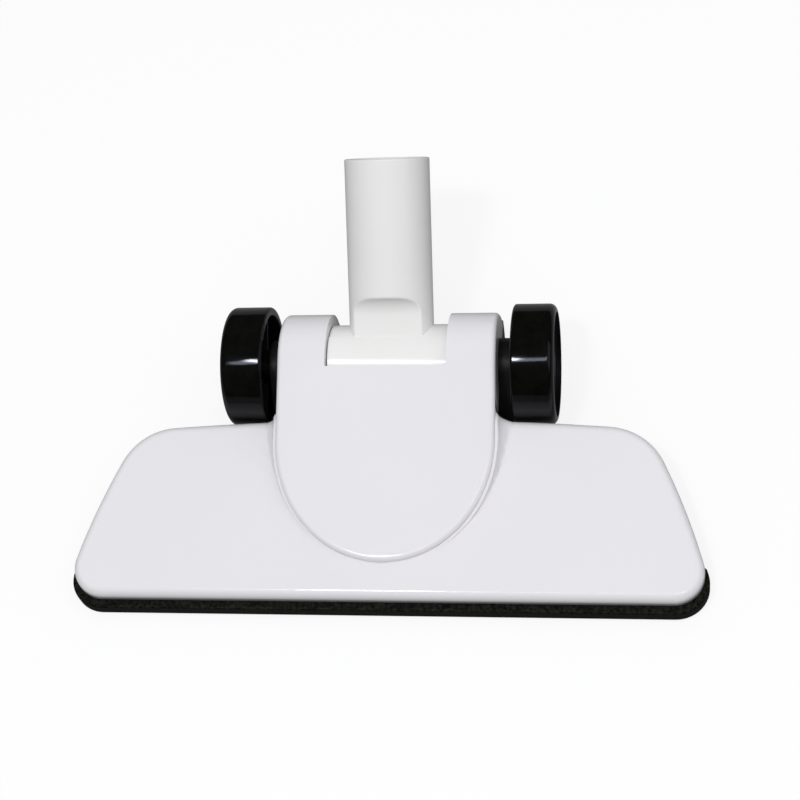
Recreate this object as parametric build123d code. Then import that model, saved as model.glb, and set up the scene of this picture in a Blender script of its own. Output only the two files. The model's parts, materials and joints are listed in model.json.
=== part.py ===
from build123d import *
from math import asin, atan, atan2, cos, degrees, hypot, radians, sin, sqrt, tan
import os

os.makedirs("parts", exist_ok=True)

# A floor brush head for a vacuum cleaner. Millimetres and degrees.
# y runs back from the bumper's front face, z up from the floor, x = 0 is the middle plane.

# Wand tube and swivel drum
wand_bore_d = 32.0        # bore that takes the wand
tube_wall = 1.5
tube_length = 85.8        # swivel axis to the tube's open end
tube_lean = 52.0          # lean back from upright
socket_depth = 46.0       # bore depth, open end to wand stop
stop_ledge = 1.5          # wand stop, stands in from the bore
drum_proud = 0.3          # drum stands out past the tube
drum_wall = 2.2
apron_step = 0.8          # shoulders behind the apron lie this much lower
apron_back = 12.0         # apron's edges, angles from the vertical
apron_front = -150.0
relief_depth = 7.0        # flat at the tube's foot, cut into the round
relief_end = 29.6         # swivel axis to the top of the relief
relief_scoop_r = 7.0      # hollow round at the top of the relief
relief_edge_r = 1.2
tube_end_r = 0.5
port_angle = 52.0         # air port in the drum wall
port_lean = -92.0         # middle of the air port, from the vertical
journal_r = 13.0
journal_wall = 2.0
journal_length = 6.3
journal_seal_width = 2.5
journal_seal_height = 3.6
journal_seal_gap = 0.3

# Neck, split along the swivel axis into a cover above and a yoke below
neck_width = 90.0
window_width = 50.0       # gap between the ears
window_front = 3.0        # window edge, ahead of where the plate meets the ears
neck_wall = 2.4
drum_gap = 1.3            # between the drum and the shells round it
end_gap = 0.4             # between the drum's ends and the ears
swivel_fit = 0.06         # journals in their seats
tip_y = 16.6              # tip of the shield plate
tip_rise = 1.8            # tip above the wing surface
tip_length = 49.7         # length of the shield's round end
plate_dip = 1.1           # hollow of the plate, along its length
neck_edge_r = 2.2
split_gap = 0.1
saddle_back = 155.0       # saddle under the drum, angles from the vertical
saddle_front = 215.0

# Wing cover
cover_half_front = 131.4
cover_half_back = 105.0
cover_back_y = 73.8
side_bulge = 2.9
back_bow = 4.4
front_corner_r = 12.5
back_corner_r = 26.0
cover_edge_z = 8.4
cover_front_h = 5.6       # front wall, from its lower edge to the wing surface
cover_slope = 9.6
cover_edge_r = 3.8
cover_wall = 2.2
shield_lip = 1.0          # seat round the shield plate
shield_gap = 0.5          # groove where the shield dips into the wing
flare_r = 9.6             # hollow flare up to the shield
flare_layers = (0.0, 0.35, 0.6, 0.8, 0.93, 1.0)   # sections down the flare, as shares of its depth

# Base plate
sole_z = 4.0
floor_t = 2.2
base_inset = 1.2          # set back from the cover's outline
sole_edge_r = 0.8
rim_wall = 2.2
rim_gap = 0.15
lip_wall = 1.6
lip_height = 3.0          # lip inside the cover
mouth_length = 184.0
mouth_depth = 14.0
mouth_y = 29.4
mouth_corner_r = 4.0
mouth_lead = 1.2          # sloped edge round the mouth
guide_wall = 1.6

# Brush strips, one each side of the mouth
strip_length = 186.0
strip_width = 6.0
strip_flange = 1.8
strip_stem_w = 4.0
strip_stem_h = 0.8
strip_fit = 0.1
strip_offset = 14.0       # from the middle of the mouth
channel_wall = 1.5
groove_lip = 1.4
tuft_pitch = 4.6
tuft_r = 1.0
tuft_splay = 7.0
tuft_sides = 6
tuft_tip_z = 0.8

# Bumper
bumper_reach = 3.3        # stands out past the cover's front
bumper_side = 1.0         # and past its sides
bumper_bottom_z = 1.7
bumper_gap = 0.5          # shadow line under the cover
bumper_end_y = 17.9
bumper_end_bevel = 27.0
bumper_edge_r = 0.9
bumper_key_h = 1.8
bumper_key_depth = 1.2
bumper_key_inset = 2.0    # key stops short of the bumper's ends

# Rear wheels and their axles
wheel_d = 50.0
wheel_width = 17.5
wheel_x = 51.0            # inner face
wheel_clear = 0.75        # between the tread and the cover's back edge
wheel_rim = 3.4
wheel_edge_r = 1.2
wheel_shoulder_r = 3.0    # outer edge of the tread
wheel_web = 2.4
web_inset = 2.2           # web behind the outer face
hub_r = 7.0
hub_recess = 3.4          # hub end behind the outer face
wheel_rib_count = 6
wheel_rib_t = 1.8
wheel_rib_inset = 2.5     # ribs behind the inner face
axle_r = 3.0
axle_fit = 0.06
axle_end_gap = 0.3
axle_head_r = 5.6
axle_head_h = 1.9
axle_head_edge = 1.2
axle_inset = 7.0          # axle inside the ear
sleeve_wall = 3.2         # round the axle, inside the ear
boss_r = 11.0
boss_clear = 0.7          # between the boss and the wheel
sleeve_fit = 0.25
arm_foot_h = 8.0
yoke_pockets = 4          # hollows under the yoke's floor
yoke_rib_t = 1.8

# Front rollers
roller_d = 12.0
roller_width = 8.0
roller_inset = 24.4       # from the cover's front corners
roller_fit = 0.08
roller_bevel = 0.9
roller_gap = 0.7
roller_pin_r = 1.25
roller_pin_seat = 1.6
pocket_wall = 2.4

# Fasteners
screw_r = 1.5
screw_head_r = 3.0
screw_head_h = 2.0
screw_length = 10.0
screw_sink = 0.4          # heads below the surface
screw_fit = 0.05
screw_clear = 0.25
screw_bevel = 0.6
screw_slot_l = 3.6
screw_slot_w = 0.9
screw_slot_d = 0.9
post_wall = 2.0
wing_screw_inset = 7.0    # from the cover's back corners
wing_screw_y = 59.9
mid_screw_x = 60.0
mid_screw_y = 64.9
shield_screw_x = 26.0
shield_screw_y = 58.9
shield_screw_length = 4.4
shield_washer = 1.8       # head past the post
ear_screw_back = 11.4
ear_screw_length = 20.0

# Throat seal
throat_seal_t = 2.0
throat_seal_w = 2.6

# Values that follow
bore_r = wand_bore_d / 2
tube_r = bore_r + tube_wall
drum_r = tube_r + drum_proud
shell_r = drum_r + drum_gap
ear_r = shell_r + neck_wall
axle_z = wheel_d / 2
neck_half = neck_width / 2
window_half = window_width / 2
drum_half = window_half - end_gap
journal_end = drum_half + journal_length
ear_screw_x = journal_end + end_gap + screw_head_r + post_wall
wing_screw_x = cover_half_back - wing_screw_inset
roller_x = cover_half_front - roller_inset
cover_front_y = bumper_reach
cover_top_y = cover_back_y + back_bow
back_r = (cover_half_back ** 2 + back_bow ** 2) / (2 * back_bow)
axis_y = cover_top_y - back_r + sqrt(back_r ** 2 - wheel_x ** 2) + wheel_clear + wheel_d / 2
cover_front_z = cover_edge_z + cover_front_h
floor_z = sole_z + floor_t
ledge_z = floor_z + neck_wall
neck_front_y = cover_top_y + throat_seal_t
arch_half = neck_half - cover_wall
boss_end = wheel_x - boss_clear
sleeve_r = axle_r + sleeve_wall
post_r = screw_r + post_wall
screw_seat_z = sole_z + screw_sink + screw_head_h
post_foot_z = screw_seat_z + floor_t
strip_ys = (mouth_y - strip_offset, mouth_y + strip_offset)
flange_z = sole_z + groove_lip
channel_top = flange_z + strip_flange + strip_fit
stem_z = flange_z - strip_stem_h
roller_r = roller_d / 2
pocket_x = roller_width / 2 + roller_gap
pocket_y = roller_r + roller_gap
end_reach = (tube_length - tube_end_r) * sin(radians(tube_lean)) + (tube_r - tube_end_r) * cos(radians(tube_lean))
overall_depth = axis_y + end_reach + tube_end_r
far = 2 * (cover_half_front + overall_depth)


def wing_z(y):
    return cover_front_z + (y - cover_front_y) * tan(radians(cover_slope))


tip_z = wing_z(tip_y) + tip_rise


def plate_arc():
    # Hollow arc from the shield's tip to the top of the ears, tangent to the ears.
    slope = radians(cover_slope)
    for _ in range(40):
        end_y = axis_y - ear_r * sin(slope)
        end_z = axle_z + ear_r * cos(slope)
        chord = hypot(end_y - tip_y, end_z - tip_z)
        turn = 2 * atan(2 * plate_dip / chord)
        slope = atan2(end_z - tip_z, end_y - tip_y) + turn
    radius = chord / (2 * sin(turn))
    centre = (end_y - radius * sin(slope), end_z + radius * cos(slope))
    return slope - turn, slope, radius, centre, end_y


plate_tilt, plate_end_slope, plate_r, plate_centre, plate_end_y = plate_arc()
window_y = plate_end_y - window_front * cos(plate_end_slope)
shield_plane = Plane((0, tip_y, tip_z), x_dir=(1, 0, 0), z_dir=(0, -sin(plate_tilt), cos(plate_tilt)))


def plate_z(y, depth=0.0):
    return plate_centre[1] - sqrt((plate_r + depth) ** 2 - (y - plate_centre[0]) ** 2)


# Building helpers
def rod(radius, x_from, x_to, y=axis_y, z=axle_z):
    return extrude(Plane.YZ.offset(x_from) * Pos(y, z) * Circle(radius), x_to - x_from)


def side_slab(profile, x_from, x_to):
    return extrude(Plane.YZ.offset(x_from) * profile, x_to - x_from)


def post(radius, x, y, z_from, z_to):
    return extrude(Pos(x, y, z_from) * Circle(radius), z_to - z_from)


def block(x_from, x_to, y_from, y_to, z_from, z_to):
    middle = Pos((x_from + x_to) / 2, (y_from + y_to) / 2, z_from)
    return extrude(middle * Rectangle(x_to - x_from, y_to - y_from), z_to - z_from)


def mirrored(shape):
    return mirror(shape, about=Plane.YZ)


def both_sides(shape):
    return shape + mirrored(shape)


def polar(angle, radius, centre):
    return (centre[0] + radius * sin(radians(angle)), centre[1] + radius * cos(radians(angle)))


def sector(angle_from, angle_to, radius, centre):
    # Slice of a disc, its angles measured back from the vertical.
    steps = 6
    turns = [angle_to - (angle_to - angle_from) * i / steps for i in range(steps + 1)]
    return Polygon(centre, *[polar(t, radius, centre) for t in turns], align=None)


# Screw places
wing_screws = [(s * x, y) for s in (-1, 1)
               for x, y in ((wing_screw_x, wing_screw_y), (mid_screw_x, mid_screw_y))]
shield_screws = [(s * shield_screw_x, shield_screw_y) for s in (-1, 1)]
ear_screws = [(s * ear_screw_x, axis_y + ear_screw_back) for s in (-1, 1)]
shield_head_r = post_r + shield_washer
shield_foot_z = plate_z(shield_screw_y - shield_head_r, neck_wall + cover_wall) - rim_gap
ear_floor_z = axle_z - sqrt(ear_r ** 2 - ear_screw_back ** 2)
ear_roof_z = axle_z + sqrt(shell_r ** 2 - ear_screw_back ** 2)
ear_seat_z = ear_floor_z + neck_wall + screw_head_h


# Wing cover
def cover_outline(grow=0.0, ahead=0.0):
    # Plan outline of the cover, each edge moved out by grow and its front one further by ahead.
    run = Vector(cover_half_back - cover_half_front, cover_back_y - cover_front_y).normalized()
    side_out = Vector(run.Y, -run.X)
    front_out = Vector(0, -1)
    back_out = Vector(0, 1)
    front = Vector(cover_half_front, cover_front_y) + (front_out + side_out) * (grow / (1 + front_out.dot(side_out)))
    front -= run * (ahead / run.Y)
    back = Vector(cover_half_back, cover_back_y) + (back_out + side_out) * (grow / (1 + back_out.dot(side_out)))
    side = Vector((cover_half_front + cover_half_back) / 2 + side_bulge, (cover_front_y + cover_back_y) / 2)
    side += side_out * grow
    face = make_face([
        Line((-front.X, front.Y), front),
        ThreePointArc(front, side, back),
        ThreePointArc(back, (0, cover_top_y + grow), (-back.X, back.Y)),
        ThreePointArc((-back.X, back.Y), (-side.X, side.Y), (-front.X, front.Y)),
    ])
    face = fillet(face.vertices().sort_by(Axis.Y)[-2:], back_corner_r + grow)
    return fillet(face.vertices().sort_by(Axis.Y)[:2], front_corner_r + grow)


def under_wing(depth):
    # Everything below the sloping wing surface, lowered by depth.
    drop = depth / cos(radians(cover_slope))
    corners = [(-far, -far), (far, -far), (far, wing_z(far) - drop), (-far, wing_z(-far) - drop)]
    return side_slab(Polygon(*corners, align=None), -far, far)


def under_plate(depth):
    # Everything below the shield's hollow surface, lowered by depth.
    reach = Pos((plate_end_y - far) / 2, 0) * Rectangle(plate_end_y + far, far)
    return side_slab(reach - Pos(*plate_centre) * Circle(plate_r + depth), -far, far)


def shield_outline(grow=0.0):
    length = far / 4
    round_end = Pos(0, tip_length) * Ellipse(neck_half + grow, tip_length + grow)
    return round_end + Pos(0, tip_length + length / 2) * Rectangle(neck_width + 2 * grow, length)


def shield_prism(grow=0.0):
    return extrude(shield_plane * Pos(0, 0, -far / 8) * shield_outline(grow), far / 4)


def pedestal(wall):
    # Raised seat of the shield: its sides flare out to meet the wing.
    grow = shield_lip - wall
    radius = flare_r + wall
    layers = []
    for share in flare_layers:
        depth = radius * share
        spread = grow + radius - sqrt(radius ** 2 - depth ** 2)
        layers.append(shield_plane * Pos(0, 0, -depth - neck_wall) * shield_outline(spread))
    crown = extrude(shield_plane * Pos(0, 0, -neck_wall) * shield_outline(grow), 2 * plate_dip)
    return (loft(layers) + crown) & under_plate(neck_wall + wall)


def is_crown_edge(edge, outline):
    # Upper edges on the cover's outer wall, round the wing and over the flare.
    points = [edge.position_at(t) for t in (0.1, 0.5, 0.9)]
    near = cover_wall / 20
    on_wall = all(outline.distance_to(Vertex(p.X, p.Y, 0)) < near for p in points)
    upright = abs(edge.tangent_at(0.5).Z) > cos(radians(1))
    return on_wall and not upright and points[1].Z > cover_edge_z + near


def top_cover():
    outline = cover_outline()
    prism = extrude(Pos(0, 0, cover_edge_z) * outline, far / 4)
    seat = pedestal(0) & prism
    wing = prism & under_wing(0)
    shell = wing + seat
    shell = fillet([e for e in shell.edges() if is_crown_edge(e, outline.wire())], cover_edge_r)
    shell += seat & block(-neck_half, neck_half, 0, far, 0, far)
    inner = extrude(cover_outline(-cover_wall), far / 4)
    shell -= (inner & under_wing(cover_wall)) + (inner & pedestal(cover_wall))
    shell -= shield_prism(shield_gap) - under_plate(neck_wall)
    arch_top = plate_z(cover_back_y - cover_wall, neck_wall + cover_wall)
    shell -= block(-arch_half, arch_half, cover_back_y - 2 * cover_wall, far / 4, 0, arch_top)
    roof = wing & under_wing(cover_wall / 2)
    for x, y in wing_screws:
        shell += post(post_r, x, y, post_foot_z, far / 4) & roof
        shell -= post(screw_r + screw_fit, x, y, 0, wing_z(y) - 2 * cover_wall)
    for x, y in shield_screws:
        shell -= post(post_r + screw_clear, x, y, floor_z, far / 4)
    return shell


# Neck cover: shield plate, cheeks and the upper halves of the ears
def ear_rooms():
    inner = window_half + neck_wall
    room = rod(shell_r, inner, neck_half - neck_wall)
    seat = rod(journal_r + swivel_fit, window_half - end_gap, inner + end_gap)
    return both_sides(room + seat)


def is_rim(edge):
    # Edges round the plate's top surface and the ears' outer ends.
    points = [edge.position_at(t) for t in (0.1, 0.5, 0.9)]
    near = neck_wall / 20
    on_plate = all(p.Y < plate_end_y + near and abs(p.Z - plate_z(p.Y)) < near for p in points)
    on_ear = all(abs(hypot(p.Y - axis_y, p.Z - axle_z) - ear_r) < near for p in points)
    at_side = all(abs(p.X) > neck_half - near for p in points)
    at_tip = all(p.Y < tip_y + tip_length for p in points)
    above = points[1].Z > axle_z + split_gap or at_tip
    return above and ((on_plate and (at_side or at_tip)) or (on_ear and at_side))


def neck_cover():
    above = block(-far, far, -far, far, axle_z + split_gap / 2, far)
    plate = shield_prism() & (under_plate(0) - under_plate(neck_wall))
    plate -= block(-window_half, window_half, window_y, far, -far, far)
    cheek = Polygon((neck_front_y, 0), (axis_y, 0), (axis_y, far / 4), (neck_front_y, far / 4), align=None)
    cheeks = both_sides(side_slab(cheek, neck_half - neck_wall, neck_half)) & under_plate(0)
    ears = both_sides(rod(ear_r, window_half, neck_half))
    shell = plate + ((cheeks + ears) & above)
    shell = fillet([e for e in shell.edges() if is_rim(e)], neck_edge_r)
    shell -= ear_rooms()
    shell -= both_sides(rod(sleeve_r + sleeve_fit, neck_half - axle_inset, far))
    for x, y in shield_screws:
        shell += post(post_r, x, y, shield_foot_z, plate_z(y, neck_wall / 2))
        shell -= post(screw_r + screw_fit, x, y, 0, plate_z(y, neck_wall / 2))
    for x, y in ear_screws:
        shell += post(post_r, x, y, axle_z + split_gap / 2, ear_roof_z)
        shell -= post(screw_r + screw_fit, x, y, axle_z, ear_roof_z - neck_wall)
    return shell


# Yoke: lower half of the neck, with the axle bosses outside its ears
def axle_arm():
    rise = axle_z - sole_z - arm_foot_h
    run = axis_y - neck_front_y
    crown_angle = -degrees(atan2(rise, run) + asin(boss_r / hypot(run, rise)))
    crown = polar(crown_angle, boss_r, (axis_y, axle_z))
    foot = Polygon((neck_front_y, sole_z), (axis_y, sole_z), (axis_y, axle_z), crown,
                   (neck_front_y, sole_z + arm_foot_h), align=None)
    return side_slab(Pos(axis_y, axle_z) * Circle(boss_r) + foot, neck_half, boss_end)


def yoke_hollows():
    # Hollows moulded into the floor from below, with ribs between them.
    width = (neck_width - neck_wall - yoke_rib_t * (yoke_pockets - 1)) / yoke_pockets
    front = neck_front_y + yoke_rib_t
    back = axis_y - sqrt(ear_r ** 2 - (axle_z - ledge_z + neck_wall) ** 2) - yoke_rib_t
    hollows = Part()
    for i in range(yoke_pockets):
        left = -neck_half + neck_wall / 2 + i * (width + yoke_rib_t)
        hollows += block(left, left + width, front, back, 0, ledge_z - neck_wall)
    return hollows


def yoke():
    below = block(-far, far, -far, far, -far, axle_z - split_gap / 2)
    cheek = Polygon((neck_front_y, sole_z), (axis_y, sole_z), (axis_y, axle_z), (neck_front_y, axle_z), align=None)
    shell = both_sides(side_slab(cheek, neck_half - neck_wall, neck_half) + rod(ear_r, window_half, neck_half))
    shell += block(-neck_half, neck_half, neck_front_y, axis_y, sole_z, ledge_z)
    saddle = Pos(axis_y, axle_z) * Circle(ear_r) & sector(saddle_back, saddle_front, far, (axis_y, axle_z))
    shell += side_slab(saddle, -window_half, window_half)
    shell = (shell & below) - rod(shell_r, -window_half, window_half) - ear_rooms()
    tongue_half = arch_half - rim_gap
    shell += block(-tongue_half, tongue_half, tip_y + tip_length, neck_front_y + neck_wall, floor_z, ledge_z)
    shell += both_sides(axle_arm() + rod(sleeve_r, neck_half - axle_inset, boss_end))
    shell -= both_sides(rod(axle_r, neck_half - axle_inset, far))
    shell -= yoke_hollows()
    for x, y in ear_screws:
        shell += post(screw_head_r + post_wall, x, y, ear_floor_z + neck_wall / 2, axle_z - split_gap / 2)
        shell -= post(screw_head_r + screw_clear, x, y, 0, ear_seat_z)
        shell -= post(screw_r + screw_clear, x, y, 0, axle_z)
    return shell


# Base plate
def bumper_key(fit):
    ring = cover_outline(fit - base_inset) - cover_outline(-base_inset - bumper_key_depth - fit)
    reach = bumper_end_y - bumper_key_inset + fit
    ring &= Pos(0, reach / 2) * Rectangle(far, reach)
    middle = (sole_z + cover_edge_z) / 2
    return extrude(Pos(0, 0, middle - bumper_key_h / 2 - fit) * ring, bumper_key_h + 2 * fit)


def guide_wall_bar():
    # Low wall that steers the air from the mouth's end to the throat.
    start = Vector(mouth_length / 2, strip_ys[1])
    end = Vector(neck_half + flare_r / 2, cover_back_y - flare_r)
    run = end - start
    bar = Pos(*((start + end) * 0.5)) * Rot(0, 0, degrees(atan2(run.Y, run.X))) * Rectangle(run.length, guide_wall)
    return extrude(Pos(0, 0, sole_z) * bar, far / 4) & under_wing(cover_wall + rim_gap)


def roller_pocket():
    case = block(-pocket_x - pocket_wall, pocket_x + pocket_wall, -pocket_y - pocket_wall, pocket_y + pocket_wall,
                 sole_z, roller_d + roller_gap + pocket_wall)
    return Pos(roller_x, mouth_y, 0) * case & under_wing(cover_wall + rim_gap)


def roller_room():
    room = block(-pocket_x, pocket_x, -pocket_y, pocket_y, 0, roller_d + roller_gap)
    seat = pocket_x + roller_pin_seat
    room += block(-seat, seat, -roller_pin_r, roller_pin_r, 0, roller_r)
    room += rod(roller_pin_r, -seat, seat, 0, roller_r)
    return Pos(roller_x, mouth_y, 0) * room


def base_plate():
    low = Pos(0, 0, sole_z)
    skirt = cover_outline(-base_inset)
    plate = extrude(low * skirt, floor_t)
    plate += extrude(low * (skirt - cover_outline(-base_inset - rim_wall)), cover_edge_z - rim_gap - sole_z)
    plate = fillet(plate.edges().group_by(Axis.Z)[0], sole_edge_r)
    lip = cover_outline(-cover_wall - rim_gap) - cover_outline(-cover_wall - rim_gap - lip_wall)
    plate += extrude(low * lip, cover_edge_z + lip_height - sole_z)
    plate += both_sides(guide_wall_bar() + roller_pocket())
    for x, y in wing_screws:
        plate += post(screw_head_r + post_wall, x, y, sole_z, post_foot_z)
    plate -= block(-arch_half, arch_half, tip_y + tip_length, far / 4, floor_z, far / 4)
    for y in strip_ys:
        plate += strip_bar(y, strip_length / 2 + channel_wall, strip_width / 2 + strip_fit + channel_wall,
                           sole_z, channel_top + channel_wall)
    for y in strip_ys:
        half = strip_length / 2 + strip_fit
        plate -= strip_bar(y, half, strip_width / 2 + strip_fit, sole_z + groove_lip, channel_top)
        plate -= strip_bar(y, half, strip_stem_w / 2 + strip_fit, 0, flange_z)
    plate -= extrude(Pos(0, mouth_y) * RectangleRounded(mouth_length, mouth_depth, mouth_corner_r), far / 4)
    lead = Pos(0, mouth_y, sole_z) * RectangleRounded(
        mouth_length + 2 * mouth_lead, mouth_depth + 2 * mouth_lead, mouth_corner_r + mouth_lead)
    plate -= extrude(lead, mouth_lead, taper=45)
    plate -= both_sides(roller_room())
    for x, y in wing_screws:
        plate -= post(screw_head_r + screw_clear, x, y, 0, screw_seat_z)
        plate -= post(screw_r + screw_clear, x, y, 0, far / 4)
    return plate - bumper_key(strip_fit)


def strip_bar(y, half_length, half_width, z_from, z_to):
    return block(-half_length, half_length, y - half_width, y + half_width, z_from, z_to)


# Brush strips
def brush_strip(y):
    half = strip_length / 2
    flange = strip_bar(y, half, strip_width / 2, flange_z, flange_z + strip_flange)
    return flange + strip_bar(y, half, strip_stem_w / 2, stem_z, flange_z)


def bristles(y):
    count = int((strip_length - tuft_pitch) / tuft_pitch)
    start = -(count - 1) * tuft_pitch / 2
    tuft = extrude(RegularPolygon(tuft_r, tuft_sides), tuft_tip_z - stem_z, taper=-tuft_splay)
    return Compound([Pos(start + i * tuft_pitch, y, stem_z) * tuft for i in range(count)])


# Bumper
def front_bumper():
    top = cover_edge_z - bumper_gap
    outline = cover_outline(bumper_side, bumper_reach - bumper_side)
    strip = extrude(Pos(0, 0, bumper_bottom_z) * outline, top - bumper_bottom_z)
    edges = strip.edges().filter_by(lambda e: abs(e.tangent_at(0.5).Z) < 0.5)
    strip = fillet(edges, bumper_edge_r)
    strip -= extrude(cover_outline(-base_inset), far / 4)
    slope = tan(radians(bumper_end_bevel))
    end = Polygon((0, bumper_end_y + cover_half_front * slope),
                  (far, bumper_end_y - (far - cover_half_front) * slope), (far, far), (0, far), align=None)
    strip -= both_sides(extrude(end, far / 4)) + block(-far, far, bumper_end_y + bumper_reach, far, 0, far / 4)
    return strip + bumper_key(0)


# Wand tube, in one piece with its drum, built upright about the swivel axis
def relief(wall):
    # Flat at the tube's foot with a hollow round at its top, moved in by a wall.
    flat = relief_depth + wall - tube_r
    top = relief_end + wall
    section = Polygon((flat, 0), (flat, top), (-far, top), (-far, 0), align=None)
    section = fillet(section.vertices().sort_by_distance((flat, top))[:1], relief_scoop_r + wall)
    return side_slab(section, -far, far)


def is_relief_edge(edge):
    # Edges where the relief meets the round of the tube.
    middle = edge.position_at(0.5)
    on_round = abs(hypot(middle.X, middle.Y) - tube_r) < tube_wall / 20
    return on_round and 0 < middle.Z < relief_end


def tilt_tube():
    upright = (0, 0)
    shoulder_r = drum_r - apron_step
    room_r = shoulder_r - drum_wall
    room_half = drum_half - drum_wall
    tube = extrude(Circle(tube_r), tube_length)
    tube = fillet(tube.edges().group_by(Axis.Z)[-1], tube_end_r) - relief(0)
    tube = fillet([e for e in tube.edges() if is_relief_edge(e)], relief_edge_r)
    apron = Circle(drum_r) & sector(apron_front - tube_lean, apron_back - tube_lean, far, upright)
    tube += rod(shoulder_r, -drum_half, drum_half, 0, 0)
    tube += side_slab(apron, -drum_half, drum_half)
    tube += both_sides(rod(journal_r, room_half, journal_end, 0, 0))
    tube -= both_sides(rod(journal_r - journal_wall, drum_half, far, 0, 0))
    passage = extrude(Circle(bore_r - stop_ledge), tube_length) - relief(tube_wall)
    port = sector(port_lean - port_angle / 2 - tube_lean, port_lean + port_angle / 2 - tube_lean, far, upright)
    tube -= rod(room_r, -room_half, room_half, 0, 0) + passage
    tube -= side_slab(port, -room_half, room_half) - rod(room_r / 2, -far, far, 0, 0)
    tube -= extrude(Pos(0, 0, tube_length - socket_depth) * Circle(bore_r), socket_depth)
    return Pos(0, axis_y, axle_z) * Rot(-tube_lean, 0, 0) * tube


def journal_seal():
    start = window_half + neck_wall + journal_seal_gap
    ring = rod(journal_r + journal_seal_height, start, start + journal_seal_width)
    return ring - rod(journal_r, start, start + journal_seal_width)


# Rear wheels and axles
def ring_profile(x_from, x_to, r_from, r_to):
    return Pos((x_from + x_to) / 2, (r_from + r_to) / 2) * Rectangle(x_to - x_from, r_to - r_from)


def rear_wheel():
    wheel_r = wheel_d / 2
    tread = ring_profile(0, wheel_width, wheel_r - wheel_rim, wheel_r)
    edges = tread.vertices().sort_by(Axis.Y)[-2:].sort_by(Axis.X)
    tread = fillet(edges[:1], wheel_edge_r)
    outer = tread.vertices().sort_by(Axis.X)[-2:].sort_by(Axis.Y)
    tread = fillet(outer[-1:], wheel_shoulder_r)
    web_back = wheel_width - web_inset - wheel_web
    section = tread + ring_profile(web_back, web_back + wheel_web, hub_r, wheel_r - wheel_rim)
    section += ring_profile(0, wheel_width - hub_recess, axle_r + axle_fit, hub_r)
    wheel = revolve(section, Axis.X)
    inner = wheel_r - wheel_rim / 2
    rib = block(wheel_rib_inset, web_back, hub_r - axle_r / 2, inner, -wheel_rib_t / 2, wheel_rib_t / 2)
    for i in range(wheel_rib_count):
        wheel += Rot(i * 360 / wheel_rib_count, 0, 0) * rib
    return Pos(wheel_x, axis_y, axle_z) * wheel


def wheel_axle():
    head = wheel_x + wheel_width - hub_recess + axle_end_gap
    cap = rod(axle_head_r, head, head + axle_head_h)
    cap = fillet(cap.edges().sort_by(Axis.X)[-1:], axle_head_edge)
    return cap + rod(axle_r, neck_half - axle_inset, head)


# Front rollers and pins
def front_roller():
    section = ring_profile(-roller_width / 2, roller_width / 2, roller_pin_r + roller_fit, roller_r)
    section = chamfer(section.vertices().sort_by(Axis.Y)[-2:], roller_bevel)
    return Pos(roller_x, mouth_y, roller_r) * revolve(section, Axis.X)


def roller_pin():
    seat = pocket_x + roller_pin_seat
    return rod(roller_pin_r, roller_x - seat, roller_x + seat, mouth_y, roller_r)


# Screws
def screw(head_r, length):
    body = post(head_r, 0, 0, -screw_head_h, 0)
    body = chamfer(body.edges().sort_by(Axis.Z)[:1], screw_bevel)
    half = screw_slot_l / 2
    for turn in (0, 90):
        slot = block(-half, half, -screw_slot_w / 2, screw_slot_w / 2, -screw_head_h, screw_slot_d - screw_head_h)
        body -= Rot(0, 0, turn) * slot
    return body + post(screw_r, 0, 0, 0, length)


def screw_group(places, z, head_r, length):
    return Compound([Pos(x, y, z) * screw(head_r, length) for x, y in places])


# Throat seal: foam arch between the wing cover and the neck
def throat_seal():
    inner = neck_half - throat_seal_w
    arch = block(-neck_half, neck_half, cover_back_y, neck_front_y, ledge_z, far / 4) & under_plate(neck_wall)
    opening = block(-inner, inner, cover_back_y, neck_front_y, 0, far / 4) & under_plate(neck_wall + throat_seal_w)
    return arch - opening - extrude(cover_outline(rim_gap), far / 4)


parts = {
    "top_cover": top_cover(),
    "neck_cover": neck_cover(),
    "yoke": yoke(),
    "base_plate": base_plate(),
    "front_bumper": front_bumper(),
    "throat_seal": throat_seal(),
    "tilt_tube": tilt_tube(),
    "wing_screws": screw_group(wing_screws, screw_seat_z, screw_head_r, screw_length),
    "shield_screws": screw_group(shield_screws, shield_foot_z, shield_head_r, shield_screw_length),
    "ear_screws": screw_group(ear_screws, ear_seat_z, screw_head_r, ear_screw_length),
}
for place, y in zip(("front", "rear"), strip_ys):
    parts[f"{place}_brush_strip"] = brush_strip(y)
    parts[f"{place}_bristles"] = bristles(y)
for piece, make in (("rear_wheel", rear_wheel), ("wheel_axle", wheel_axle), ("front_roller", front_roller),
                    ("roller_pin", roller_pin), ("journal_seal", journal_seal)):
    parts[f"{piece}_right"] = make()
    parts[f"{piece}_left"] = mirrored(make())

# The origin is under the middle of the whole head.
for name, shape in parts.items():
    export_step(Pos(0, -overall_depth / 2, 0) * shape, f"parts/{name}.step")
print("swivel and wheel axis: y", round(axis_y - overall_depth / 2, 4), "z", axle_z)
print("roller axis: y", round(mouth_y - overall_depth / 2, 4), "z", roller_r)
print("depth", round(overall_depth, 4), "tube end radius", bore_r)
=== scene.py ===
import json
import math

import bmesh
import bpy
from mathutils import Matrix, Vector


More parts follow.
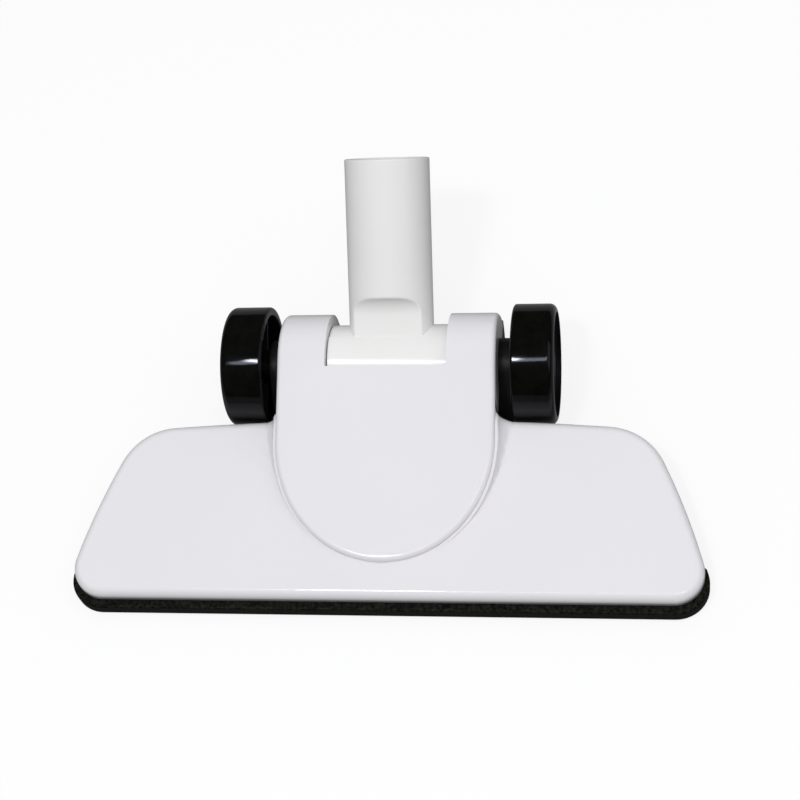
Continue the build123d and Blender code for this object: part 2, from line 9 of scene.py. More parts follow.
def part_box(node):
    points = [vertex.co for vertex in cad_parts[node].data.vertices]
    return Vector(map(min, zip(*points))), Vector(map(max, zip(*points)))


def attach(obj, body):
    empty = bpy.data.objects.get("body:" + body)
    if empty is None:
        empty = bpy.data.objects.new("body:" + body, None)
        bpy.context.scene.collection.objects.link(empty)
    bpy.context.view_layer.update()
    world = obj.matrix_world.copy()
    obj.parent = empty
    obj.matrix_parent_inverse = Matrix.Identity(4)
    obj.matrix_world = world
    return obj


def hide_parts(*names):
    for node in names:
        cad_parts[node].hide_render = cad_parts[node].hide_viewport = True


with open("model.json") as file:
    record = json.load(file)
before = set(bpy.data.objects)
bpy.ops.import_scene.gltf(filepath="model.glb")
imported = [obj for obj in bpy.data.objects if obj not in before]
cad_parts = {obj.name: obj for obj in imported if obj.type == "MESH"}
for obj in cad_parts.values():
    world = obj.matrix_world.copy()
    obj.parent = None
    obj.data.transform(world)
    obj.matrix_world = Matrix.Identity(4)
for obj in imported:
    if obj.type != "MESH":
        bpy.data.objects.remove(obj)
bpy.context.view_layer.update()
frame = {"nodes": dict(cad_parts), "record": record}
nodes = frame["nodes"]
scene = bpy.context.scene
weldGap = 1e-6  # points this close become one


# small helpers for node trees
def addNode(tree, kind, **settings):
    node = tree.nodes.new(kind)
    for key, value in settings.items():
        setattr(node, key, value)
    return node


def join(tree, fromSocket, toSocket):
    tree.links.new(fromSocket, toSocket)


def feed(tree, value, socket):
    if isinstance(value, bpy.types.NodeSocket):
        join(tree, value, socket)
    else:
        socket.default_value = value


def reckon(tree, operation, first, second=0.0, third=0.0):
    node = addNode(tree, "ShaderNodeMath", operation=operation)
    for value, socket in zip((first, second, third), node.inputs):
        feed(tree, value, socket)
    return node.outputs[0]


def vector(tree, x=0.0, y=0.0, z=0.0):
    node = addNode(tree, "ShaderNodeCombineXYZ")
    for value, socket in zip((x, y, z), node.inputs):
        feed(tree, value, socket)
    return node.outputs[0]


def objectCoords(tree, stretch=(1, 1, 1), turn=(0, 0, 0), shift=(0, 0, 0)):
    coords = addNode(tree, "ShaderNodeTexCoord")
    mapping = addNode(tree, "ShaderNodeMapping")
    mapping.inputs["Location"].default_value = shift
    mapping.inputs["Scale"].default_value = stretch
    mapping.inputs["Rotation"].default_value = [math.radians(a) for a in turn]
    join(tree, coords.outputs["Object"], mapping.inputs["Vector"])
    return mapping.outputs["Vector"]


def noise(tree, place, scale, detail, rough):
    node = addNode(tree, "ShaderNodeTexNoise")
    node.inputs["Scale"].default_value = scale
    node.inputs["Detail"].default_value = detail
    node.inputs["Roughness"].default_value = rough
    join(tree, place, node.inputs["Vector"])
    return node.outputs["Fac"]


def cells(tree, place, scale):
    node = addNode(tree, "ShaderNodeTexVoronoi")
    node.inputs["Scale"].default_value = scale
    join(tree, place, node.inputs["Vector"])
    return node.outputs["Distance"]


def spread(tree, value, low, high, fromLow=0.3, fromHigh=0.7):
    node = addNode(tree, "ShaderNodeMapRange")
    node.inputs["From Min"].default_value = fromLow
    node.inputs["From Max"].default_value = fromHigh
    node.inputs["To Min"].default_value = low
    node.inputs["To Max"].default_value = high
    join(tree, value, node.inputs["Value"])
    return node.outputs["Result"]


def tint(tree, value, dark, light, fromLow=0.3, fromHigh=0.7):
    node = addNode(tree, "ShaderNodeValToRGB")
    ramp = node.color_ramp
    ramp.elements[0].position, ramp.elements[1].position = fromLow, fromHigh
    ramp.elements[0].color, ramp.elements[1].color = (*dark, 1), (*light, 1)
    join(tree, value, node.inputs["Fac"])
    return node.outputs["Color"]


def bump(tree, height, distance, strength):
    node = addNode(tree, "ShaderNodeBump")
    node.inputs["Distance"].default_value = distance
    node.inputs["Strength"].default_value = strength
    join(tree, height, node.inputs["Height"])
    return node.outputs["Normal"]


def startMaterial(name):
    material = bpy.data.materials.new(name)
    material.use_nodes = True
    return material, material.node_tree


# camera at the photo's viewing angle, in metres and degrees
photoCamera = {
    "lookAt": (0.002225, 0.001476, 0.015),
    "turn": 18.408,      # round to the head's right
    "height": 59.657,    # above the horizon
    "roll": 16.345,
    "distance": 0.778459,
    "lens": 83.662,
    "clip": (0.01, 20),
}


def addCamera(look):
    turn, height, roll = (math.radians(look[k]) for k in ("turn", "height", "roll"))
    back = Vector((math.sin(turn) * math.cos(height), -math.cos(turn) * math.cos(height), math.sin(height)))
    right = Vector((math.cos(turn), math.sin(turn), 0))
    up = back.cross(right)
    axes = (right * math.cos(roll) - up * math.sin(roll), right * math.sin(roll) + up * math.cos(roll), back)
    data = bpy.data.cameras.new("photoCamera")
    data.lens = look["lens"]
    data.clip_start, data.clip_end = look["clip"]
    camera = bpy.data.objects.new("photoCamera", data)
    place = Matrix(axes).transposed().to_4x4()
    place.translation = Vector(look["lookAt"]) + back * look["distance"]
    camera.matrix_world = place
    scene.collection.objects.link(camera)
    scene.camera = camera


addCamera(photoCamera)
print("camera placed")

# soft studio light: a room that is brighter overhead, a small lamp and a long one over the head,
# and a weak one from the right
studio = {
    "roomColor": (0.985, 0.99, 1.0),
    "roomLow": 0.24, "roomHigh": 0.62, "roomRise": 0.9,  # light at the horizon, light overhead, rise between
    "mirrorLoss": 0.85,  # share of the room's and the floor's light that is not mirrored
    "lamps": {  # place, size, power and colour
        "keyLamp": ((-0.215, -0.388, 1.15), (0.16, 0.09), 3.4, (1.0, 0.99, 0.98)),
        "stripLamp": ((0.05, -0.418, 1.16), (0.95, 0.12), 3.0, (0.92, 0.95, 1.0)),
        "fillLamp": ((1.0, -0.1, 0.8), (0.9, 0.9), 1.9, (0.99, 0.99, 1.0)),
    },
    "lampAim": (0, 0, 0.02),
    "floorColor": (0.16, 0.16, 0.16), "floorGlow": 0.835, "floorSize": 6.0,
}


def addRoom(values):
    world = bpy.data.worlds.new("studioRoom")
    world.use_nodes = True
    tree = world.node_tree
    room = tree.nodes["Background"]
    room.inputs["Color"].default_value = (*values["roomColor"], 1)
    way = addNode(tree, "ShaderNodeSeparateXYZ")
    path = addNode(tree, "ShaderNodeLightPath").outputs
    join(tree, addNode(tree, "ShaderNodeTexCoord").outputs["Generated"], way.inputs[0])
    level = spread(tree, way.outputs[2], values["roomLow"], values["roomHigh"], 0.0, values["roomRise"])
    kept = reckon(tree, "SUBTRACT", 1.0, reckon(tree, "MULTIPLY", path["Is Glossy Ray"], values["mirrorLoss"]))
    lit = reckon(tree, "MULTIPLY", level, kept)
    backdrop = reckon(tree, "MAXIMUM", lit, path["Is Camera Ray"])  # plain white where the camera sees it
    join(tree, backdrop, room.inputs["Strength"])
    scene.world = world


def addLamp(name, aim, place, size, power, color):
    data = bpy.data.lights.new(name, "AREA")
    data.shape = "RECTANGLE"
    data.size, data.size_y = size
    data.energy = power
    data.color = color
    lamp = bpy.data.objects.new(name, data)
    lamp.location = place
    lamp.rotation_euler = (Vector(aim) - Vector(place)).to_track_quat("-Z", "Y").to_euler()
    scene.collection.objects.link(lamp)


def addFloor(values):
    half = values["floorSize"] / 2
    mesh = bpy.data.meshes.new("studioFloor")
    mesh.from_pydata([(-half, -half, 0), (half, -half, 0), (half, half, 0), (-half, half, 0)], [], [(0, 1, 2, 3)])
    floor = bpy.data.objects.new("studioFloor", mesh)
    scene.collection.objects.link(floor)
    material, tree = startMaterial("paleFloor")
    tree.nodes.clear()
    matte = addNode(tree, "ShaderNodeBsdfDiffuse")
    matte.inputs["Color"].default_value = (*values["floorColor"], 1)
    glow = addNode(tree, "ShaderNodeEmission")
    path = addNode(tree, "ShaderNodeLightPath").outputs
    both = addNode(tree, "ShaderNodeAddShader")
    out = addNode(tree, "ShaderNodeOutputMaterial")
    mirrored = reckon(tree, "MULTIPLY", path["Is Glossy Ray"], 1 - values["mirrorLoss"])
    seen = reckon(tree, "MAXIMUM", path["Is Camera Ray"], mirrored)
    join(tree, reckon(tree, "MULTIPLY", seen, values["floorGlow"]), glow.inputs["Strength"])
    join(tree, matte.outputs[0], both.inputs[0])
    join(tree, glow.outputs[0], both.inputs[1])
    join(tree, both.outputs[0], out.inputs["Surface"])
    mesh.materials.append(material)


addRoom(studio)
for name, settings in studio["lamps"].items():
    addLamp(name, studio["lampAim"], *settings)
addFloor(studio)
scene.view_settings.view_transform = "Standard"
print("studio lit")

# finishes: a wide noise, cloud, mixes dark and light, and a fine one, grain, gives sheen and bump
# a noise is scale, detail and roughness; drawn is the grain's stretch and turn; sheen is a range of roughness;
# bump is depth and strength; band is the part of the cloud from dark to light; fixed goes straight to the shader
looks = {
    "polishedWhite": {
        "dark": (0.82, 0.806, 0.828), "light": (0.838, 0.822, 0.842), "cloud": (14, 4, 0.5),
        "grain": (240, 3, 0.6), "sheen": (0.085, 0.105),
        "peel": (420, 2, 0.5), "bump": (0.00002, 0.35),  # a noise of its own for the bump
        "fixed": {"Specular IOR Level": 0.22},
    },
    "satinWhite": {
        "dark": (0.862, 0.854, 0.84), "light": (0.882, 0.874, 0.862), "cloud": (18, 4, 0.5),
        "grain": (900, 3, 0.6), "drawn": ((1, 1, 0.06), (52, 0, 0)), "sheen": (0.14, 0.22), "bump": (0.00002, 0.4),
        "fixed": {"Specular IOR Level": 0.22},
    },
    "polishedBlack": {
        "dark": (0.001, 0.001, 0.0007), "light": (0.0042, 0.0041, 0.003), "cloud": (160, 5, 0.7),
        "grain": (700, 4, 0.6), "drawn": ((0.15, 1, 1),), "sheen": (0.06, 0.11), "bump": (0.000012, 0.4),
        "fixed": {"Specular IOR Level": 0.24, "Specular Tint": (0.84, 0.87, 1.0, 1.0)},
        "rim": 0.0033, "mattRoughness": 0.55,  # polished tread, plain moulded hollow
    },
    "grainedBlack": {
        "dark": (0.007, 0.007, 0.0075), "light": (0.013, 0.013, 0.0132), "cloud": (45, 4, 0.5),
        "grain": (1400, 2, 0.6), "sheen": (0.38, 0.58), "bump": (0.00008, 0.5),
        "fixed": {"Specular IOR Level": 0.22},
    },
    "bumperRubber": {
        "dark": (0.001, 0.001, 0.0008), "light": (0.02, 0.0197, 0.0145), "cloud": (720, 4, 0.65),
        "band": (0.4, 0.68), "grain": (720, 4, 0.65), "sheen": (0.5, 0.72), "bump": (0.0002, 0.6),
        "fixed": {"Specular IOR Level": 0.1},
    },
    "greyFoam": {  # cells in place of both noises
        "dark": (0.03, 0.03, 0.032), "light": (0.10, 0.10, 0.105), "cells": 1800, "band": (0.1, 0.6),
        "bump": (0.0003, 0.8), "fixed": {"Roughness": 0.95},
    },
    "nylonBristle": {
        "dark": (0.012, 0.012, 0.013), "light": (0.05, 0.05, 0.052), "cloud": (600, 2, 0.5),
        "grain": (200, 2, 0.5), "sheen": (0.3, 0.45),
    },
    "brightZinc": {
        "dark": (0.50, 0.50, 0.50), "light": (0.68, 0.68, 0.66), "cloud": (350, 4, 0.5),
        "grain": (1500, 4, 0.6), "drawn": ((1, 0.2, 1),), "sheen": (0.25, 0.42), "bump": (0.00002, 0.4),
        "fixed": {"Metallic": 1.0},
    },
    "rollerGrey": {
        "dark": (0.16, 0.16, 0.165), "light": (0.22, 0.22, 0.225), "cloud": (120, 4, 0.5),
        "grain": (900, 4, 0.6), "drawn": ((1, 0.1, 0.1),), "sheen": (0.35, 0.5), "bump": (0.00004, 0.4),
    },
}


def makeFinish(name):
    look = looks[name]
    material, tree = startMaterial(name)
    shader = tree.nodes["Principled BSDF"].inputs
    place = objectCoords(tree)
    if "cells" in look:
        cloud = grain = cells(tree, place, look["cells"])
    else:
        cloud = noise(tree, place, *look["cloud"])
        grain = noise(tree, objectCoords(tree, *look.get("drawn", ())), *look["grain"])
    join(tree, tint(tree, cloud, look["dark"], look["light"], *look.get("band", ())), shader["Base Color"])
    if "sheen" in look:
        join(tree, spread(tree, grain, *look["sheen"]), shader["Roughness"])
    if "bump" in look:
        height = noise(tree, place, *look["peel"]) if "peel" in look else grain
        join(tree, bump(tree, height, *look["bump"]), shader["Normal"])
    for socket, value in look.get("fixed", {}).items():
        shader[socket].default_value = value
    return material


def mattHollow(material, look):
    # nearer to the axle than the rim, the wheels are matt
    tree = material.node_tree
    roughness = tree.nodes["Principled BSDF"].inputs["Roughness"]
    polish = roughness.links[0].from_socket
    low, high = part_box("rear_wheel_right")
    middle = [(a + b) / 2 for a, b in zip(low, high)]
    fromAxle = addNode(tree, "ShaderNodeVectorMath", operation="LENGTH")
    join(tree, objectCoords(tree, (0, 1, 1), shift=(0, -middle[1], -middle[2])), fromAxle.inputs[0])
    hollow = reckon(tree, "LESS_THAN", fromAxle.outputs["Value"], (high[2] - low[2]) / 2 - look["rim"])
    matt = reckon(tree, "MULTIPLY", hollow, look["mattRoughness"])
    join(tree, reckon(tree, "MAXIMUM", matt, polish), roughness)


slotLooks = {
    "gloss_white": "polishedWhite", "satin_white": "satinWhite", "gloss_black": "polishedBlack",
    "black_plastic": "grainedBlack", "black_rubber": "bumperRubber", "grey_foam": "greyFoam",
    "dark_nylon": "nylonBristle", "zinc_steel": "brightZinc", "grey_plastic": "rollerGrey",
}
finishes = {slotName: makeFinish(name) for slotName, name in slotLooks.items()}
mattHollow(finishes["gloss_black"], looks["polishedBlack"])
for subpart in frame["record"]["subparts"]:
    mesh = nodes[subpart["node"]].data
    mesh.materials.clear()
    mesh.materials.append(finishes[subpart["material_slot"]])
print("finishes on", len(nodes), "nodes")


# Geometry Nodes: a tree with named inputs, and the plain mesh that it makes
def startTree(name, sizes):
    tree = bpy.data.node_groups.new(name, "GeometryNodeTree")
    sockets = tree.interface
    sockets.new_socket("Geometry", in_out="INPUT", socket_type="NodeSocketGeometry")
    for label, kind in sizes.items():
        sockets.new_socket(label, in_out="INPUT", socket_type="NodeSocket" + kind)
    sockets.new_socket("Geometry", in_out="OUTPUT", socket_type="NodeSocketGeometry")
    return tree, addNode(tree, "NodeGroupInput").outputs


def endTree(tree, shape, material, smoothUnder):
    # soft edges under an angle, sharp ones over it
    real = addNode(tree, "GeometryNodeRealizeInstances")
    faces = addNode(tree, "GeometryNodeSetShadeSmooth", domain="FACE")
    edges = addNode(tree, "GeometryNodeSetShadeSmooth", domain="EDGE")
    angle = addNode(tree, "GeometryNodeInputMeshEdgeAngle")
    paint = addNode(tree, "GeometryNodeSetMaterial")
    out = addNode(tree, "NodeGroupOutput")
    join(tree, shape, real.inputs[0])
    join(tree, real.outputs[0], faces.inputs[0])
    join(tree, faces.outputs[0], edges.inputs[0])
    join(tree, reckon(tree, "LESS_THAN", angle.outputs[0], math.radians(smoothUnder)), edges.inputs["Shade Smooth"])
    join(tree, edges.outputs[0], paint.inputs["Geometry"])
    join(tree, material, paint.inputs["Material"])
    join(tree, paint.outputs[0], out.inputs[0])


def settle(piece, body, nodeName):
    # what the modifier makes becomes a plain mesh, on its body and in place of its CAD node
    graph = bpy.context.evaluated_depsgraph_get()
    made = bpy.data.meshes.new_from_object(piece.evaluated_get(graph), depsgraph=graph)
    piece.modifiers.clear()
    piece.data = made
    made.name = piece.name
    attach(piece, body)
    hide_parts(nodeName)


def growPiece(name, tree, values, body, slotName, nodeName, outline=()):
    seed = bpy.data.meshes.new(name + "Seed")
    seed.from_pydata([(r, 0, h) for r, h in outline], [], [])
    piece = bpy.data.objects.new(name, seed)
    scene.collection.objects.link(piece)
    modifier = piece.modifiers.new(name, "NODES")
    modifier.node_group = tree
    values = {**values, "Material": finishes[slotName]}
    for item in tree.interface.items_tree:
        if item.in_out == "INPUT" and item.name in values:
            modifier[item.identifier] = values[item.name]
    settle(piece, body, nodeName)


def gridPlace(tree, across):
    # row and column of a point, counted along rows; the half keeps the division clear of rounding
    index = addNode(tree, "GeometryNodeInputIndex").outputs[0]
    row = reckon(tree, "FLOOR", reckon(tree, "DIVIDE", reckon(tree, "ADD", index, 0.5), across))
    return row, reckon(tree, "SUBTRACT", index, reckon(tree, "MULTIPLY", row, across))


def turnedShape(tree, outline, steps):
    # an outline of (radius, height) points, anticlockwise and closed on itself, turned round the Z axis
    count = addNode(tree, "GeometryNodeAttributeDomainSize", component="MESH")
    sheet = addNode(tree, "GeometryNodeMeshGrid")
    pick = addNode(tree, "GeometryNodeSampleIndex", data_type="FLOAT_VECTOR", clamp=True)
    place = addNode(tree, "GeometryNodeInputPosition")
    parts = addNode(tree, "ShaderNodeSeparateXYZ")
    move = addNode(tree, "GeometryNodeSetPosition")
    weld = addNode(tree, "GeometryNodeMergeByDistance")
    across = reckon(tree, "ADD", steps, 1.0)
    row, column = gridPlace(tree, across)
    angle = reckon(tree, "DIVIDE", reckon(tree, "MULTIPLY", column, -math.tau), steps)
    join(tree, outline, count.inputs[0])
    join(tree, count.outputs["Point Count"], sheet.inputs["Vertices X"])
    join(tree, across, sheet.inputs["Vertices Y"])
    join(tree, outline, pick.inputs["Geometry"])
    join(tree, place.outputs[0], pick.inputs["Value"])
    join(tree, row, pick.inputs["Index"])
    join(tree, pick.outputs["Value"], parts.inputs[0])
    radius, height = parts.outputs[0], parts.outputs[2]
    join(tree, vector(tree, reckon(tree, "MULTIPLY", radius, reckon(tree, "COSINE", angle)),
                      reckon(tree, "MULTIPLY", radius, reckon(tree, "SINE", angle)), height), move.inputs["Position"])
    join(tree, sheet.outputs["Mesh"], move.inputs["Geometry"])
    join(tree, move.outputs[0], weld.inputs["Geometry"])
    weld.inputs["Distance"].default_value = weldGap
    return weld.outputs[0]


def roundCorner(centre, radius, fromAngle, toAngle, steps=8):
    turns = [math.radians(fromAngle + (toAngle - fromAngle) * i / steps) for i in range(steps + 1)]
    return [(centre[0] + radius * math.cos(t), centre[1] + radius * math.sin(t)) for t in turns]


# bristles: round tufts along each strip, flaring towards the floor
bristleRow = {
    "tufts": 39, "pitch": 0.0046, "perTuft": 34, "tuftRadius": 0.00098, "bristleRadius": 0.0001,
    "sides": 5, "tipShare": 0.75, "flare": 0.11, "shortest": 0.88, "smoothUnder": 80,
    "bristleTurn": 2.39996, "tuftTurn": 1.7,  # radians from one bristle to the next, and from tuft to tuft
    "seeds": {"front": 11, "rear": 23},
}


def bristleTree(form):
    tree, given = startTree("bristleTufts", {
        "Tufts": "Int", "Pitch": "Float", "Bristles Per Tuft": "Int", "Tuft Radius": "Float",
        "Bristle Radius": "Float", "Length": "Float", "Flare": "Float", "Shortest": "Float",
        "Middle": "Vector", "Seed": "Int", "Material": "Material"})
    per = given["Bristles Per Tuft"]
    tuft, within = gridPlace(tree, per)
    share = reckon(tree, "SQRT", reckon(tree, "DIVIDE", reckon(tree, "ADD", within, 0.5), per))
    angle = reckon(tree, "MULTIPLY_ADD", within, form["bristleTurn"],
                   reckon(tree, "MULTIPLY", tuft, form["tuftTurn"]))
    reach = reckon(tree, "MULTIPLY", share, given["Tuft Radius"])
    halfRow = reckon(tree, "MULTIPLY", reckon(tree, "SUBTRACT", given["Tufts"], 1.0), 0.5)
    along = reckon(tree, "MULTIPLY", given["Pitch"], reckon(tree, "SUBTRACT", tuft, halfRow))
    outX, outY = reckon(tree, "COSINE", angle), reckon(tree, "SINE", angle)
    spot = vector(tree, reckon(tree, "MULTIPLY_ADD", outX, reach, along), reckon(tree, "MULTIPLY", outY, reach))
    middle = addNode(tree, "ShaderNodeVectorMath", operation="ADD")
    join(tree, spot, middle.inputs[0])
    join(tree, given["Middle"], middle.inputs[1])
    points = addNode(tree, "GeometryNodePoints")
    join(tree, reckon(tree, "MULTIPLY", given["Tufts"], per), points.inputs["Count"])
    join(tree, middle.outputs[0], points.inputs["Position"])
    lean = reckon(tree, "MULTIPLY", share, given["Flare"])
    aim = addNode(tree, "FunctionNodeAlignRotationToVector", axis="Z")
    join(tree, vector(tree, reckon(tree, "MULTIPLY", outX, lean), reckon(tree, "MULTIPLY", outY, lean), -1.0),
         aim.inputs["Vector"])
    luck = addNode(tree, "FunctionNodeRandomValue", data_type="FLOAT")
    join(tree, given["Shortest"], luck.inputs[2])
    luck.inputs[3].default_value = 1.0
    join(tree, given["Seed"], luck.inputs["Seed"])
    hair = addNode(tree, "GeometryNodeMeshCone")
    hair.inputs["Vertices"].default_value = form["sides"]
    join(tree, given["Bristle Radius"], hair.inputs["Radius Bottom"])
    join(tree, reckon(tree, "MULTIPLY", given["Bristle Radius"], form["tipShare"]), hair.inputs["Radius Top"])
    join(tree, given["Length"], hair.inputs["Depth"])
    plant = addNode(tree, "GeometryNodeInstanceOnPoints")
    join(tree, points.outputs[0], plant.inputs["Points"])
    join(tree, hair.outputs["Mesh"], plant.inputs["Instance"])
    join(tree, aim.outputs[0], plant.inputs["Rotation"])
    join(tree, vector(tree, 1.0, 1.0, luck.outputs[1]), plant.inputs["Scale"])
    endTree(tree, plant.outputs[0], given["Material"], form["smoothUnder"])
    return tree


tufts = bristleTree(bristleRow)
for place, seed in bristleRow["seeds"].items():
    low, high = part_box(place + "_bristles")
    growPiece(place + "BristleTufts", tufts, {
        "Tufts": bristleRow["tufts"], "Pitch": bristleRow["pitch"], "Bristles Per Tuft": bristleRow["perTuft"],
        "Tuft Radius": bristleRow["tuftRadius"], "Bristle Radius": bristleRow["bristleRadius"],
        "Length": high[2] - low[2], "Flare": bristleRow["flare"], "Shortest": bristleRow["shortest"],
        "Middle": ((low[0] + high[0]) / 2, (low[1] + high[1]) / 2, high[2]), "Seed": seed,
    }, "head", "dark_nylon", place + "_bristles")
print("bristles planted:", len(bristleRow["seeds"]) * bristleRow["tufts"] * bristleRow["perTuft"])

# screws: round heads with a cross, in pairs either side of the middle, heads to the floor
screwForm = {
    "headRadius": 0.003, "headHeight": 0.002, "rim": 0.0008, "edge": 0.0001,
    "domePower": 0.6, "domeSteps": 10, "shankRadius": 0.0015, "tip": 0.0016, "tipShare": 0.35,
    "crossLength": 0.0036, "crossWidth": 0.0008, "crossDepth": 0.0011,
    "turn": 0.55, "steps": 30, "smoothUnder": 34,
    "sets": {  # node, seed, and the places at one side: out from the middle, and back from the foremost
        "wingScrewSet": ("wing_screws", 3, ((0.098, 0.0), (0.060, 0.005))),
        "earScrewSet": ("ear_screws", 8, ((0.0363, 0.0),)),
    },
}


def screwTree(form):
    tree, given = startTree("crossScrews", {
        "Screws": "Int", "First Place": "Vector", "Second Place": "Vector", "Head Height": "Float",
        "Cross Length": "Float", "Cross Width": "Float", "Cross Depth": "Float", "Turn": "Float",
        "Steps": "Int", "Seed": "Int", "Material": "Material"})
    body = turnedShape(tree, given["Geometry"], given["Steps"])
    cut = addNode(tree, "GeometryNodeMeshBoolean", operation="DIFFERENCE", solver="EXACT")
    join(tree, body, cut.inputs["Mesh 1"])
    deep = reckon(tree, "MULTIPLY", given["Cross Depth"], 2.0)
    for width, depth in (("Cross Length", "Cross Width"), ("Cross Width", "Cross Length")):
        bar = addNode(tree, "GeometryNodeMeshCube")
        down = addNode(tree, "GeometryNodeTransform")
        join(tree, vector(tree, given[width], given[depth], deep), bar.inputs["Size"])
        join(tree, bar.outputs["Mesh"], down.inputs["Geometry"])
        join(tree, vector(tree, z=reckon(tree, "MULTIPLY", given["Head Height"], -1.0)), down.inputs["Translation"])
        join(tree, down.outputs[0], cut.inputs["Mesh 2"])
    second, pair = gridPlace(tree, 2.0)
    side = reckon(tree, "SUBTRACT", reckon(tree, "MULTIPLY", pair, 2.0), 1.0)
    which = addNode(tree, "ShaderNodeMix", data_type="VECTOR")
    join(tree, second, which.inputs["Factor"])
    join(tree, given["First Place"], which.inputs[4])
    join(tree, given["Second Place"], which.inputs[5])
    mirrored = addNode(tree, "ShaderNodeVectorMath", operation="MULTIPLY")
    join(tree, which.outputs[1], mirrored.inputs[0])
    join(tree, vector(tree, side, 1.0, 1.0), mirrored.inputs[1])
    points = addNode(tree, "GeometryNodePoints")
    join(tree, given["Screws"], points.inputs["Count"])
    join(tree, mirrored.outputs[0], points.inputs["Position"])
    luck = addNode(tree, "FunctionNodeRandomValue", data_type="FLOAT")
    join(tree, given["Turn"], luck.inputs[3])
    join(tree, given["Seed"], luck.inputs["Seed"])
    plant = addNode(tree, "GeometryNodeInstanceOnPoints")
    join(tree, points.outputs[0], plant.inputs["Points"])
    join(tree, cut.outputs["Mesh"], plant.inputs["Instance"])
    join(tree, vector(tree, z=luck.outputs[1]), plant.inputs["Rotation"])
    endTree(tree, plant.outputs[0], given["Material"], form["smoothUnder"])
    return tree


def screwOutline(form, length):
    radius, height, rim, edge = form["headRadius"], form["headHeight"], form["rim"], form["edge"]
    shank, power, steps = form["shankRadius"], form["domePower"], form["domeSteps"]
    turns = [math.pi / 2 * i / steps for i in range(steps + 1)]
    dome = [(radius * math.sin(t) ** power, -rim - (height - rim) * math.cos(t) ** power) for t in turns]
    dome[0] = (0.0, -height)
    return dome + [(radius, -edge), (radius - edge, 0.0), (shank, 0.0), (shank, length - form["tip"]),
                   (shank * form["tipShare"], length), (0.0, length)]


crossScrews = screwTree(screwForm)
for name, (nodeName, seed, places) in screwForm["sets"].items():
    low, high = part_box(nodeName)
    seat = low[2] + screwForm["headHeight"]
    foremost = low[1] + screwForm["headRadius"] if len(places) > 1 else (low[1] + high[1]) / 2
    spots = [(x, foremost + y, seat) for x, y in places]
    growPiece(name, crossScrews, {
        "Screws": 2 * len(places), "First Place": spots[0], "Second Place": spots[-1],
        "Head Height": screwForm["headHeight"], "Cross Length": screwForm["crossLength"],
        "Cross Width": screwForm["crossWidth"], "Cross Depth": screwForm["crossDepth"],
        "Turn": screwForm["turn"], "Steps": screwForm["steps"], "Seed": seed,
    }, "head", "zinc_steel", nodeName, screwOutline(screwForm, high[2] - seat))
print("screws set")

# rear wheels: a rounded tread on a webbed disc with ribs behind it, turned about the axle
wheelForm = {
    "rim": 0.0034, "innerEdge": 0.0012, "shoulder": 0.003, "shoulderSteps": 14, "faceEdge": 0.0002,
    "webInset": 0.0022, "web": 0.0024, "webFillet": 0.0012,
    "hubRadius": 0.007, "hubRecess": 0.0034, "boreRadius": 0.00306, "lip": 0.0006,
    "ribs": 6, "ribThickness": 0.0018, "ribInset": 0.0025, "ribSink": 0.0005, "steps": 128, "smoothUnder": 30,
    "sides": {"right": 1.0, "left": -1.0},
}


def wheelTree(form):
    tree, given = startTree("turnedWheel", {
        "Steps": "Int", "Ribs": "Int", "Rib Size": "Vector", "Rib Place": "Vector", "Side": "Float",
        "Middle": "Vector", "Material": "Material"})
    disc = turnedShape(tree, given["Geometry"], given["Steps"])
    rib = addNode(tree, "GeometryNodeMeshCube")
    out = addNode(tree, "GeometryNodeTransform")
    spokes = addNode(tree, "GeometryNodePoints")
    fan = addNode(tree, "GeometryNodeInstanceOnPoints")
    index = addNode(tree, "GeometryNodeInputIndex").outputs[0]
    both = addNode(tree, "GeometryNodeJoinGeometry")
    lay = addNode(tree, "GeometryNodeTransform")
    join(tree, given["Rib Size"], rib.inputs["Size"])
    join(tree, rib.outputs["Mesh"], out.inputs["Geometry"])
    join(tree, given["Rib Place"], out.inputs["Translation"])
    join(tree, given["Ribs"], spokes.inputs["Count"])
    join(tree, spokes.outputs[0], fan.inputs["Points"])
    join(tree, out.outputs[0], fan.inputs["Instance"])
    join(tree, vector(tree, z=reckon(tree, "MULTIPLY", index, reckon(tree, "DIVIDE", math.tau, given["Ribs"]))),
         fan.inputs["Rotation"])
    join(tree, disc, both.inputs[0])
    join(tree, fan.outputs[0], both.inputs[0])
    join(tree, both.outputs[0], lay.inputs["Geometry"])
    join(tree, vector(tree, y=reckon(tree, "MULTIPLY", given["Side"], math.pi / 2)), lay.inputs["Rotation"])
    join(tree, given["Middle"], lay.inputs["Translation"])
    endTree(tree, lay.outputs[0], given["Material"], form["smoothUnder"])
    return tree


def wheelOutline(form, radius, width):
    # heights run out along the axle from the wheel's inner face
    inner, hub, bore = radius - form["rim"], form["hubRadius"], form["boreRadius"]
    webOut = width - form["webInset"]
    webIn = webOut - form["web"]
    hubOut = width - form["hubRecess"]
    edge, shoulder, soft, lip = form["innerEdge"], form["shoulder"], form["webFillet"], form["lip"]
    faceEdge = form["faceEdge"]
    outline = [(bore, hubOut), (bore, 0.0), (hub - lip, 0.0), (hub, lip)]
    outline += roundCorner((hub + soft, webIn - soft), soft, 180, 90)
    outline += roundCorner((inner - soft, webIn - soft), soft, 90, 0)
    outline += roundCorner((inner + lip, lip), lip, 180, 270)
    outline += roundCorner((radius - edge, edge), edge, 270, 360)
    outline += roundCorner((radius - shoulder, width - shoulder), shoulder, 0, 90, form["shoulderSteps"])
    outline += [(inner + faceEdge, width), (inner, width - faceEdge)]
    outline += roundCorner((inner - soft / 2, webOut + soft / 2), soft / 2, 0, -90)
    return outline + [(hub, webOut), (hub, hubOut), (bore, hubOut)]


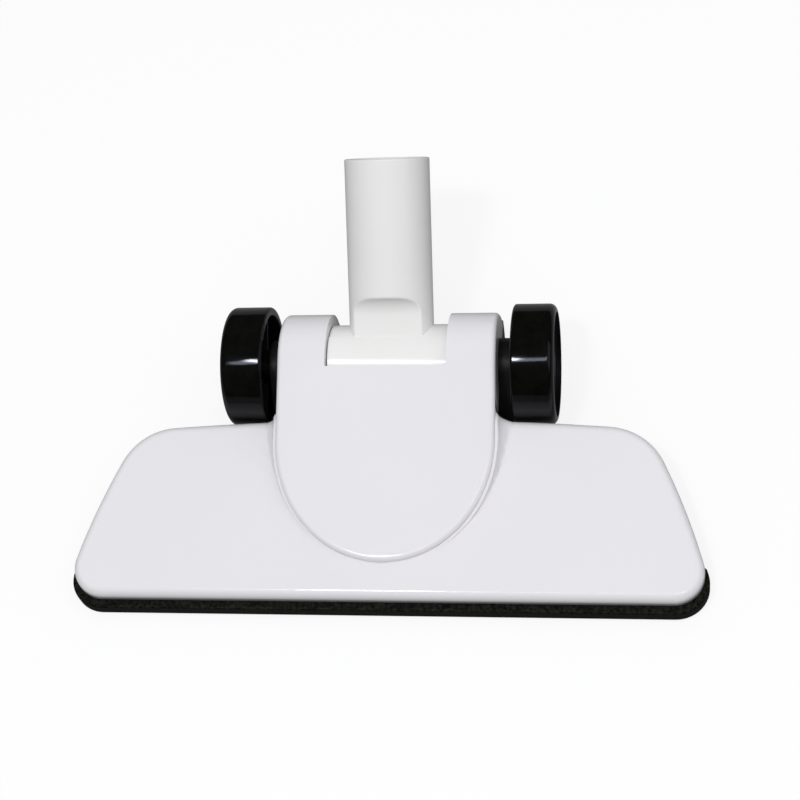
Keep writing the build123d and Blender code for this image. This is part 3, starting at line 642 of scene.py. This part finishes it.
wheels = wheelTree(wheelForm)
for side, sign in wheelForm["sides"].items():
    low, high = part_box("rear_wheel_" + side)
    radius = (high[2] - low[2]) / 2
    width = high[0] - low[0]
    face = low[0] if sign > 0 else high[0]
    inner = radius - wheelForm["rim"]
    webIn = width - wheelForm["webInset"] - wheelForm["web"]
    ribLow, ribHigh = wheelForm["ribInset"], webIn + wheelForm["ribSink"]
    ribIn, ribOut = wheelForm["hubRadius"] - wheelForm["ribSink"], inner + wheelForm["ribSink"]
    growPiece("rearWheel_" + side, wheels, {
        "Steps": wheelForm["steps"], "Ribs": wheelForm["ribs"], "Side": sign,
        "Rib Size": (ribOut - ribIn, wheelForm["ribThickness"], ribHigh - ribLow),
        "Rib Place": ((ribIn + ribOut) / 2, 0.0, (ribLow + ribHigh) / 2),
        "Middle": (face, (low[1] + high[1]) / 2, (low[2] + high[2]) / 2),
    }, "wheel_" + side, "gloss_black", "rear_wheel_" + side, wheelOutline(wheelForm, radius, width))
print("wheels turned")

# moulded shells: copies of the CAD forms, welded so that light runs evenly over their rounded edges
shellForm = {
    "weight": 60,  # how far the larger faces lead the shading
    "shells": {  # node, body, slot, and the angle over which an edge is sharp
        "wingShell": ("top_cover", "head", "gloss_white", 100),
        "neckShell": ("neck_cover", "head", "gloss_white", 26),
        "wandTube": ("tilt_tube", "tube", "satin_white", 26),
        "bumperStrip": ("front_bumper", "head", "black_rubber", 26),
    },
}


def evenShell(name, nodeName, body, slotName, sharpOver):
    mesh = nodes[nodeName].data.copy()
    mesh.attributes.remove(mesh.attributes["custom_normal"])  # the CAD's own normals jump at its seams
    skin = bmesh.new()
    skin.from_mesh(mesh)
    bmesh.ops.remove_doubles(skin, verts=skin.verts, dist=weldGap)
    for face in skin.faces:
        face.smooth = True
    for edge in skin.edges:
        edge.smooth = edge.calc_face_angle(math.pi) < math.radians(sharpOver)  # an open edge is sharp
    skin.to_mesh(mesh)
    skin.free()
    piece = bpy.data.objects.new(name, mesh)
    scene.collection.objects.link(piece)
    even = piece.modifiers.new("evenNormals", "WEIGHTED_NORMAL")
    even.weight, even.keep_sharp = shellForm["weight"], True
    settle(piece, body, nodeName)


for name, settings in shellForm["shells"].items():
    evenShell(name, *settings)
print("shells welded:", len(shellForm["shells"]))
